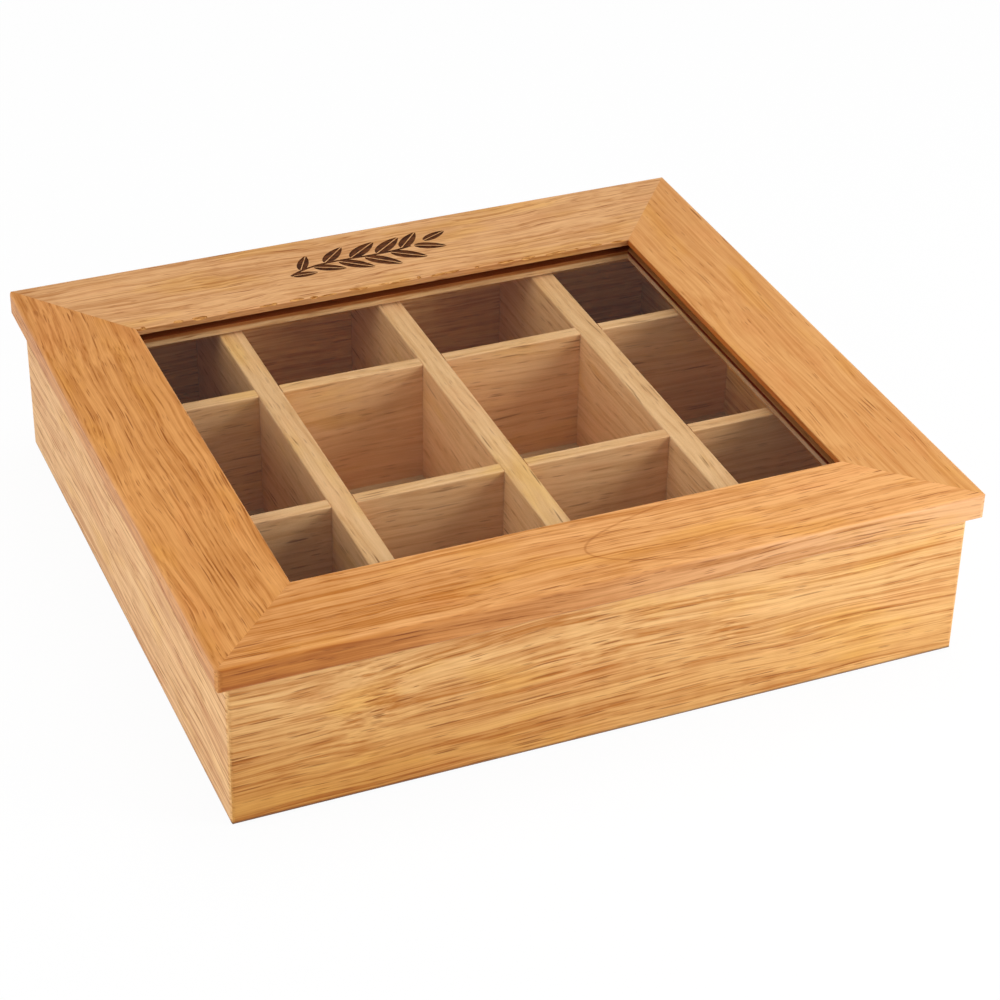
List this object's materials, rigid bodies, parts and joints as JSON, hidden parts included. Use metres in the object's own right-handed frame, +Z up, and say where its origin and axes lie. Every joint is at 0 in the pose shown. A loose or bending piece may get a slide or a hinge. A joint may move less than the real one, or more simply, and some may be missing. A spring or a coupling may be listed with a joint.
{
  "type": "tea bag organizer box",
  "caption": "Wooden box with an egg-crate of open compartments under a back-hinged frame lid with a clear window, for standing tea sachets.",
  "frame": {"origin": "centre of the foot, on the surface the box stands on, midway between the lid's edges", "axes": "+X to the right seen from the front, +Y to the back where the hinges are, +Z up"},
  "size_m": [0.335, 0.314, 0.0813],
  "materials": {
    "lid_wood": "oiled hardwood, satin",
    "case_wood": "oiled hardwood, satin",
    "divider_wood": "planed hardwood, matt",
    "plywood": "thin plywood, matt",
    "spline_wood": "beech, glued, hidden",
    "clear_acrylic": "clear polished acrylic",
    "brass": "rolled brass, satin"
  },
  "bodies": {
    "case": {"wall_front": "case_wood", "wall_back": "case_wood", "wall_left": "case_wood", "wall_right": "case_wood", "wall_mitre_splines": "spline_wood", "bottom_panel": "plywood", "divider_long_left": "divider_wood", "divider_long_middle": "divider_wood", "divider_long_right": "divider_wood", "divider_cross_front": "divider_wood", "divider_cross_back": "divider_wood", "hinge_left_case_leaf": "brass", "hinge_left_pin": "brass", "hinge_right_case_leaf": "brass", "hinge_right_pin": "brass", "hinge_case_screws": "brass"},
    "lid": {"rail_front": "lid_wood", "rail_back": "lid_wood", "rail_left": "lid_wood", "rail_right": "lid_wood", "lid_mitre_splines": "spline_wood", "window_pane": "clear_acrylic", "hinge_left_lid_leaf": "brass", "hinge_right_lid_leaf": "brass", "hinge_lid_screws": "brass"}
  },
  "joints": [
    {"name": "lid_hinge", "type": "hinge", "parent": "case", "child": "lid", "pos_m": [0, 0.15297, 0.06915], "axis": [-1, 0, 0], "range_deg": [0, 110]}
  ]
}
